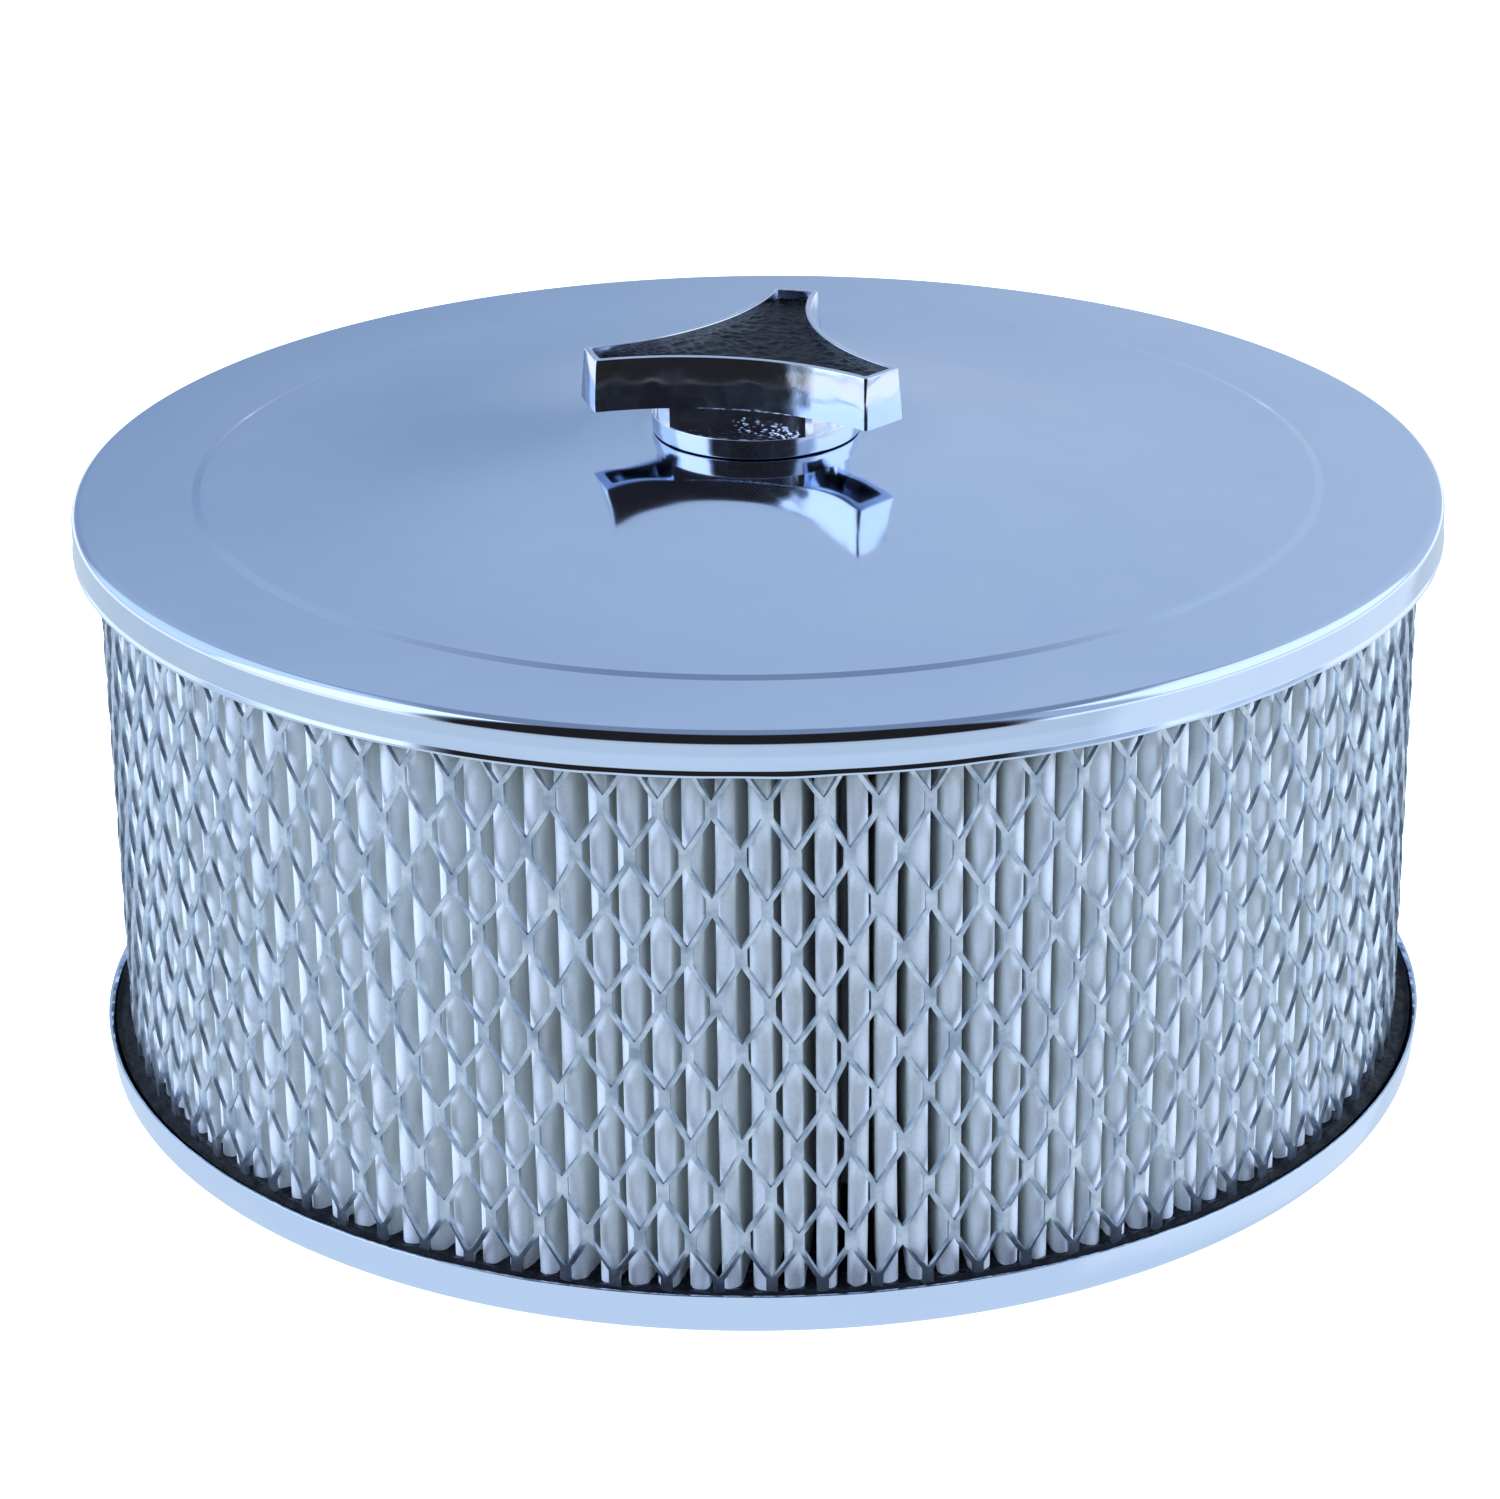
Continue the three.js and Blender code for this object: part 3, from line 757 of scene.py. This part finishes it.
def star_points(inset):
    """Corners and arcs of the star, one wing after another, as (x, y)."""
    reach = WING_REACH - inset
    half = wing_half_width(reach, inset)
    arc = SIDE_ARC + inset
    nose = 0.35 * MM
    points = []
    for wing in range(3):
        along = KNOB_TURN + wing * FULL_TURN / 3
        u = Vector((math.cos(along), math.sin(along)))
        v = Vector((-u.y, u.x))
        for across, ahead in ((-half, -nose), (-half + nose * 0.3, -nose * 0.3), (-half + nose, 0.0)):
            points.append(u * (reach + ahead) + v * across)
        points.append(u * (reach + 0.05 * MM))
        for across, ahead in ((half - nose, 0.0), (half - nose * 0.3, -nose * 0.3), (half, -nose)):
            points.append(u * (reach + ahead) + v * across)
        between = along + math.pi / 3
        centre = Vector((math.cos(between), math.sin(between))) * SIDE_CENTRE
        first = u * reach + v * half - centre
        start = math.atan2(first.y, first.x)
        middle = between + math.pi
        swing = 2 * ((middle - start + math.pi) % FULL_TURN - math.pi)
        steps = 36
        for k in range(2, steps - 1):
            angle = start + swing * k / steps
            points.append(centre + Vector((math.cos(angle), math.sin(angle))) * arc)
    return points


def star_loop_at(inset, z):
    return [(p.x, p.y, z) for p in star_points(inset)]


def column_loop(z, radius):
    """The star cut off by a circle: what stands on the hub between its ledges."""
    loop = []
    for p in star_points(-0.15 * MM):
        if p.length > radius:
            p = p.normalized() * radius
        loop.append((p.x, p.y, z))
    return loop


def make_knob():
    wing_bottom = KNOB_TOP - WING_DEPTH
    draft = 0.4 * MM
    edge = 0.22 * MM
    floor = RECESS_FLOOR - 0.3 * MM
    wings = lofted("knob_visual", [
        star_loop_at(-draft + edge, wing_bottom),
        star_loop_at(-draft + 0.06 * MM, wing_bottom + 0.06 * MM),
        star_loop_at(-draft, wing_bottom + edge),
        star_loop_at(-draft / 2, (wing_bottom + KNOB_TOP) / 2),
        star_loop_at(0.0, KNOB_TOP - edge),
        star_loop_at(0.06 * MM, KNOB_TOP - 0.06 * MM),
        star_loop_at(edge, KNOB_TOP),
        star_loop_at(RIM_WIDTH - 0.08 * MM, KNOB_TOP),
        star_loop_at(RIM_WIDTH, KNOB_TOP - 0.08 * MM),
        star_loop_at(RIM_WIDTH + 0.1 * MM, floor),
    ], sharp=50)
    pocket = lofted("pocket", [
        star_loop_at(0.7 * MM, wing_bottom - 0.5 * MM),
        star_loop_at(0.9 * MM, wing_bottom + POCKET_DEPTH),
    ])
    combine(wings, [pocket], "DIFFERENCE", sharp=40)
    columns = lofted("columns", [
        column_loop(LEDGE_Z - 0.6 * MM, HUB_RADIUS - 0.02 * MM),
        column_loop(wing_bottom + POCKET_DEPTH + 0.3 * MM, HUB_RADIUS - 0.02 * MM),
    ])
    hub = turned("hub", rounded([
        (0, HUB_BOTTOM, 0),
        (HUB_RADIUS - 0.45 * MM, HUB_BOTTOM, 0.0),
        (HUB_RADIUS - 0.42 * MM, HUB_BOTTOM - SKIRT, 0.05 * MM),
        (HUB_RADIUS - 0.05 * MM, HUB_BOTTOM - SKIRT, 0.15 * MM),
        (HUB_RADIUS, LEDGE_Z, 0.18 * MM),
        (0, LEDGE_Z, 0),
    ]), steps=180)
    combine(wings, [columns, hub], "UNION", sharp=40)
    bore = turned("bore", [
        (0, HUB_BOTTOM - MM), (BORE_RADIUS, HUB_BOTTOM - MM),
        (BORE_RADIUS, stud_high.z + 1.2 * MM), (0, stud_high.z + 1.2 * MM),
    ], steps=48)
    combine(wings, [bore], "DIFFERENCE", sharp=40)
    wings.data.materials.clear()
    wings.data.materials.append(CAST_CHROME)
    wings.data.materials.append(PEBBLED_CHROME)
    for face in wings.data.polygons:
        on_ledge = abs(face.center.z - LEDGE_Z) < 0.02 * MM and face.normal.z > 0.9
        face.material_index = 1 if on_ledge else 0
    place(wings, "knob", "chrome", "knob_body")


PEBBLE_SIZE = 0.95 * MM
PEBBLE_DEPTH = 0.3 * MM


def make_inlay():
    """Pebbled plate that fills the knob's recess, on a grid of rows along each wing."""
    inset = RIM_WIDTH + 0.12 * MM
    reach = WING_REACH - inset
    rows, columns = 72, 22
    points, faces = [], []
    for wing in range(3):
        along = KNOB_TURN + wing * FULL_TURN / 3
        u = Vector((math.cos(along), math.sin(along)))
        v = Vector((-u.y, u.x))
        first = len(points)
        for row in range(rows + 1):
            out = reach * row / rows
            half = min(wing_half_width(out, inset), out * math.sqrt(3))
            for column in range(columns + 1):
                p = u * out + v * half * (2 * column / columns - 1)
                points.append((p.x, p.y, inlay_low.z))
        for row in range(rows):
            for column in range(columns):
                a = first + row * (columns + 1) + column
                faces.append((a, a + 1, a + columns + 2, a + columns + 1))
    mesh = bpy.data.meshes.new("knob_inlay_visual")
    mesh.from_pydata(points, [], faces)
    bm = bmesh.new()
    bm.from_mesh(mesh)
    bmesh.ops.remove_doubles(bm, verts=bm.verts, dist=2e-6)
    raised = bmesh.ops.extrude_face_region(bm, geom=bm.faces[:])
    top = [item for item in raised["geom"] if isinstance(item, bmesh.types.BMVert)]
    for vertex in top:
        here = vertex.co.copy()
        bumps = noise.voronoi(here / PEBBLE_SIZE)[0][0]
        vertex.co.z = inlay_high.z + 0.02 * MM - PEBBLE_DEPTH * min(bumps, 0.7)
    bmesh.ops.recalc_face_normals(bm, faces=bm.faces)
    bm.to_mesh(mesh)
    bm.free()
    shade(mesh, 60)
    inlay = link("knob_inlay_visual", mesh)
    place(inlay, "knob", "pebbled_black", "knob_inlay", materials=[PEBBLED_BLACK])


def make_gasket():
    edge = 0.12 * MM
    outline = rounded([
        (BORE_RADIUS, gasket_low.z, edge),
        (gasket_high.x, gasket_low.z, edge),
        (gasket_high.x, gasket_high.z, edge),
        (BORE_RADIUS, gasket_high.z, edge),
    ], steps=3)
    gasket = turned("knob_gasket_visual", outline, steps=96)
    place(gasket, "knob_washer", "gasket_fibre", "knob_gasket", materials=[GASKET])


# ---- neck, bridge, stud and clamp ----

NECK_BORE = 26.2 * MM
NECK_WALL = 1 * MM
NECK_SLOT_WIDTH = 2.4 * MM
NECK_SLOT_HEIGHT = 14 * MM
SLOT_CUT = 80 * MM             # length of the cutter, which goes right across the neck
STUD_RADIUS = 3.15 * MM
STUD_THREAD = 0.55 * MM
STUD_PITCH = 1.27 * MM
RIVET_SHANK = 1.5 * MM
RIVET_FOOT = 2.6 * MM
RIVET_HEAD = 1.5 * MM          # thickness
BAND_RADIUS = 27.5 * MM
BAND_THICKNESS = 0.7 * MM
BAND_SLOTS = 11
FIRST_BAND_SLOT = 22           # degrees from the screw
BAND_SLOT_STEP = 4.2           # degrees
SCREW_RADIUS = 3.4 * MM
SCREW_THREAD = 0.7 * MM
SCREW_PITCH = 2 * MM
SCREW_HALF_LENGTH = 8.5 * MM
HEAD_HEIGHT = 5 * MM
HEAD_FLATS = 7.9 * MM


def box(name, centre, size, turn=0.0):
    """A plain cutter: a box at a place, turned about Z."""
    points = []
    for dz in (-0.5, 0.5):
        for dx, dy in ((-0.5, -0.5), (0.5, -0.5), (0.5, 0.5), (-0.5, 0.5)):
            x, y = dx * size[0], dy * size[1]
            c, s = math.cos(turn), math.sin(turn)
            points.append((centre[0] + x * c - y * s, centre[1] + x * s + y * c, centre[2] + dz * size[2]))
    faces = [(0, 1, 2, 3), (4, 5, 6, 7), (0, 1, 5, 4), (1, 2, 6, 5), (2, 3, 7, 6), (3, 0, 4, 7)]
    return solid(name, points, faces)


def make_neck():
    outer = NECK_BORE + NECK_WALL
    flange = neck_high.x
    flange_z = neck_high.z - NECK_WALL
    outline = rounded([
        (NECK_BORE, 0, 0.25 * MM),
        (outer, 0, 0.25 * MM),
        (outer, flange_z, 0.25 * MM),
        (flange, flange_z, 0.3 * MM),
        (flange, neck_high.z, 0.3 * MM),
        (NECK_BORE, neck_high.z, 0.9 * MM),
    ])
    neck = turned("neck_tube_visual", outline, steps=180, sharp=50)
    slot = (SLOT_CUT, NECK_SLOT_WIDTH, 2 * NECK_SLOT_HEIGHT)
    cutters = [box("slot", (0, 0, 0), slot, math.radians(turn)) for turn in (45, 135)]
    combine(neck, cutters, "DIFFERENCE", sharp=50)
    place(neck, "base", "chrome", "neck_tube", materials=[RIM_CHROME])


def make_fasteners():
    stud = threaded("stud_visual", STUD_RADIUS, STUD_THREAD, STUD_PITCH, stud_low.z, stud_high.z)
    place(stud, "base", "zinc_plate", "stud", materials=[ZINC])
    for node in ("bridge", "stud_nut_lower", "stud_nut_upper", "stud_lock_washer", "clamp_housing"):
        piece = softened(node, node + "_visual", 0.25 * MM)
        place(piece, "base", "zinc_plate", node, materials=[ZINC])
    for node in ("neck_rivet_front", "neck_rivet_back", "bridge_rivet_left", "bridge_rivet_right"):
        low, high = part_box(node)
        middle = (low + high) / 2
        head = high.x - middle.x
        outline = rounded([
            (0, low.z, 0),
            (RIVET_FOOT - 0.6 * MM, low.z, 0.4 * MM),
            (RIVET_FOOT, low.z + 0.6 * MM, 0.3 * MM),
            (RIVET_FOOT, PAN_Z - 0.1 * MM, 0.1 * MM),
            (RIVET_SHANK, PAN_Z - 0.1 * MM, 0),
            (RIVET_SHANK, high.z - RIVET_HEAD, 0),
            (head, high.z - RIVET_HEAD, 0.15 * MM),
            (2.6 * MM, high.z - 0.7 * MM, 0.8 * MM),
            (1.3 * MM, high.z, 1.2 * MM),
            (0, high.z, 0),
        ])
        rivet = turned(node + "_visual", outline, steps=48)
        for vertex in rivet.data.vertices:
            vertex.co.xy += middle.xy
        place(rivet, "base", "zinc_plate", node, materials=[ZINC])


def make_clamp_band():
    inner = BAND_RADIUS
    outer = BAND_RADIUS + BAND_THICKNESS
    outline = rounded([
        (inner, band_low.z, 0.2 * MM),
        (outer, band_low.z, 0.2 * MM),
        (outer, band_high.z, 0.2 * MM),
        (inner, band_high.z, 0.2 * MM),
    ], steps=3)
    band = turned("clamp_band_visual", outline, steps=180)
    middle = (band_low.z + band_high.z) / 2
    slots = []
    for k in range(BAND_SLOTS):
        angle = math.radians(FIRST_BAND_SLOT + BAND_SLOT_STEP * k)
        where = (inner * math.cos(angle), inner * math.sin(angle), middle)
        slots.append(box("slot", where, (6 * MM, 0.9 * MM, 6.4 * MM), angle))
    combine(band, slots, "DIFFERENCE")
    place(band, "base", "zinc_plate", "clamp_band", materials=[ZINC])


def make_clamp_screw():
    """The worm is made standing along Z and then laid along Y, on the CAD screw's axis."""
    axis_x = (screw_low.x + screw_high.x) / 2
    axis_z = (screw_low.z + screw_high.z) / 2
    end = SCREW_HALF_LENGTH
    worm = threaded("clamp_screw_visual", SCREW_RADIUS, SCREW_THREAD, SCREW_PITCH, -end, end, sides=40)
    corner = HEAD_FLATS / math.sqrt(3)
    top = end + HEAD_HEIGHT
    loops = []
    for z, size in ((end - MM, 0.93), (end - 0.5 * MM, 1.0), (top - 0.5 * MM, 1.0), (top, 0.9)):
        loops.append([
            (corner * size * math.cos(math.pi / 3 * i), corner * size * math.sin(math.pi / 3 * i), z)
            for i in range(6)
        ])
    head = lofted("head", loops)
    combine(worm, [head], "UNION")
    combine(worm, [box("slot", (0, 0, top), (12 * MM, 1.2 * MM, 2.4 * MM))], "DIFFERENCE")
    for vertex in worm.data.vertices:
        x, y, z = vertex.co
        vertex.co = (axis_x + x, z, axis_z - y)
    place(worm, "clamp_worm", "zinc_plate", "clamp_screw", materials=[ZINC])


# ---- camera, lights and floor ----


CAMERA_DISTANCE = 5.8138 * HOUSING_RADIUS   # in front of the stud's axis
CAMERA_HEIGHT = 2.9066 * HOUSING_RADIUS     # above the pan
CAMERA_ANGLES = (66.884, 0.607, -0.108)
CAMERA_LENS = 100.45


def make_camera():
    """The view of the photograph, placed from the lid's size: a long lens from just above."""
    camera_data = bpy.data.cameras.new("camera")
    camera_data.lens = CAMERA_LENS
    camera_data.sensor_width = 36
    camera_data.clip_start = 0.01
    camera = bpy.data.objects.new("camera", camera_data)
    bpy.context.collection.objects.link(camera)
    camera.location = (0, -CAMERA_DISTANCE, PAN_Z + CAMERA_HEIGHT)
    camera.rotation_euler = [math.radians(angle) for angle in CAMERA_ANGLES]
    bpy.context.scene.camera = camera


class Sky:
    """A studio drawn on the world by direction: walls, floor and soft boxes."""

    def __init__(self):
        world = bpy.data.worlds.new("studio")
        world.use_nodes = True
        bpy.context.scene.world = world
        self.nodes = world.node_tree.nodes
        self.links = world.node_tree.links
        self.background = self.nodes["Background"]
        self.direction = self.nodes.new("ShaderNodeTexCoord").outputs["Generated"]
        self.colour = None

    def math(self, operation, *values):
        node = self.nodes.new("ShaderNodeMath")
        node.operation = operation
        for socket, value in zip(node.inputs, values):
            if isinstance(value, (int, float)):
                socket.default_value = value
            else:
                self.links.new(value, socket)
        return node.outputs["Value"]

    def angles(self, azimuth):
        """Azimuth from the given heading, 0 along +Y and 90 along +X, and elevation, in degrees."""
        turn = self.nodes.new("ShaderNodeVectorRotate")
        turn.rotation_type = "Z_AXIS"
        turn.inputs["Angle"].default_value = math.radians(azimuth)
        self.links.new(self.direction, turn.inputs["Vector"])
        split = self.nodes.new("ShaderNodeSeparateXYZ")
        self.links.new(turn.outputs["Vector"], split.inputs["Vector"])
        x, y, z = (split.outputs[axis] for axis in "XYZ")
        around = self.math("DEGREES", self.math("ARCTAN2", x, y))
        up = self.math("DEGREES", self.math("ARCSINE", z))
        return around, up

    def falloff(self, offset, half, soft):
        """1 within half a window's size of its middle, smoothly down to 0 past its edge."""
        node = self.nodes.new("ShaderNodeMapRange")
        node.interpolation_type = "SMOOTHSTEP"
        node.inputs["From Min"].default_value = half + soft
        node.inputs["From Max"].default_value = half - soft
        self.links.new(self.math("ABSOLUTE", offset), node.inputs["Value"])
        return node.outputs["Result"]

    def base(self, colour):
        node = self.nodes.new("ShaderNodeRGB")
        node.outputs[0].default_value = (*colour, 1)
        self.colour = node.outputs[0]

    def window(self, azimuth, elevation, half_width, half_height, soft, colour):
        """Lays a soft-edged patch of colour over what is there."""
        around, up = self.angles(azimuth)
        across = self.falloff(around, half_width, soft)
        upright = self.falloff(self.math("SUBTRACT", up, elevation), half_height, soft)
        cover = self.math("MULTIPLY", across, upright)
        mix = self.nodes.new("ShaderNodeMix")
        mix.data_type = "RGBA"
        factor, first, second = mix.inputs[0], mix.inputs[6], mix.inputs[7]
        self.links.new(cover, factor)
        self.links.new(self.colour, first)
        second.default_value = (*colour, 1)
        self.colour = mix.outputs[2]

    def finish(self):
        self.links.new(self.colour, self.background.inputs["Color"])


def make_sky():
    """A plain soft studio: pale walls and table, a soft box on either side, unlit behind the camera."""
    sky = Sky()
    sky.base((0.43, 0.525, 0.69))
    everywhere = 400
    camera_side = 185
    # pale walls, brighter to the right and falling off to the left, under a dim ceiling
    sky.window(52, 20, 44, 70, 34, (0.56, 0.66, 0.80))
    sky.window(-25, 12, 24, 9, 12, (0.27, 0.37, 0.54))
    sky.window(0, 80, everywhere, 30, 10, (0.24, 0.30, 0.42))
    # the pale table, brightest at its far edge
    sky.window(0, -50, everywhere, 50, 1.5, (0.69, 0.79, 0.91))
    sky.window(0, -20, everywhere, 5, 2, (0.60, 0.70, 0.79))
    sky.window(82, -22, 40, 16, 4, (0.82, 0.91, 1.0))
    sky.window(0, -6, everywhere, 5.5, 1.5, (1.1, 1.15, 1.2))
    # nothing is lit behind the camera
    unlit = (0.020, 0.018, 0.020)
    sky.window(camera_side, 29, 48, 42, 5, unlit)
    # a soft box on the left, dimmer towards its far end, and one on the right
    sky.window(-104, 30, 20, 28, 3, (1.25, 1.4, 1.6))
    sky.window(-64, 30, 20, 28, 6, (0.75, 0.95, 1.2))
    sky.window(84, 30, 32, 26, 4, (1.1, 1.25, 1.45))
    sky.finish()


def make_light(name, place_at, energy, size, colour):
    data = bpy.data.lights.new(name, "AREA")
    data.energy = energy
    data.size = size
    data.color = colour
    light = bpy.data.objects.new(name, data)
    light.location = place_at
    aim = Vector((0, 0, 0.05)) - Vector(place_at)
    light.rotation_euler = aim.to_track_quat("-Z", "Y").to_euler()
    light.visible_glossy = False
    bpy.context.collection.objects.link(light)


def make_studio():
    make_camera()
    make_sky()
    blue = (0.49, 0.61, 1.0)
    make_light("left", (-1.1, -0.45, 0.5), 17, 0.6, blue)
    make_light("right", (1.1, -0.35, 0.5), 17, 0.6, blue)
    make_light("front", (-0.3, -1.2, 0.6), 6, 0.6, blue)
    half = 6.0
    corners = [(-half, -half, 0), (half, -half, 0), (half, half, 0), (-half, half, 0)]
    floor = link("floor", bpy.data.meshes.new("floor"))
    floor.data.from_pydata(corners, [], [(0, 1, 2, 3)])
    s = Surface("pale_floor", Roughness=0.9)
    s.set("Base Color", s.ramp(s.noise(3), (0.3, (0.93, 0.93, 0.93)), (0.7, (0.95, 0.95, 0.95))))
    s.shader.inputs["Emission Color"].default_value = (0.64, 0.80, 1.0, 1)
    s.shader.inputs["Emission Strength"].default_value = 1.6
    floor.data.materials.append(s.material)
    floor.location.z = -0.2 * MM
    # the sky's own pale table lights the object and shows in the chrome in the floor's place
    floor.visible_glossy = False
    floor.visible_diffuse = False
    bpy.context.scene.view_settings.view_transform = "Standard"


make_studio()
make_lid()
make_pan()
make_meshes()
make_pleats()
make_lower_seal()
make_upper_seal()
make_knob()
make_inlay()
make_gasket()
make_neck()
make_fasteners()
make_clamp_band()
make_clamp_screw()
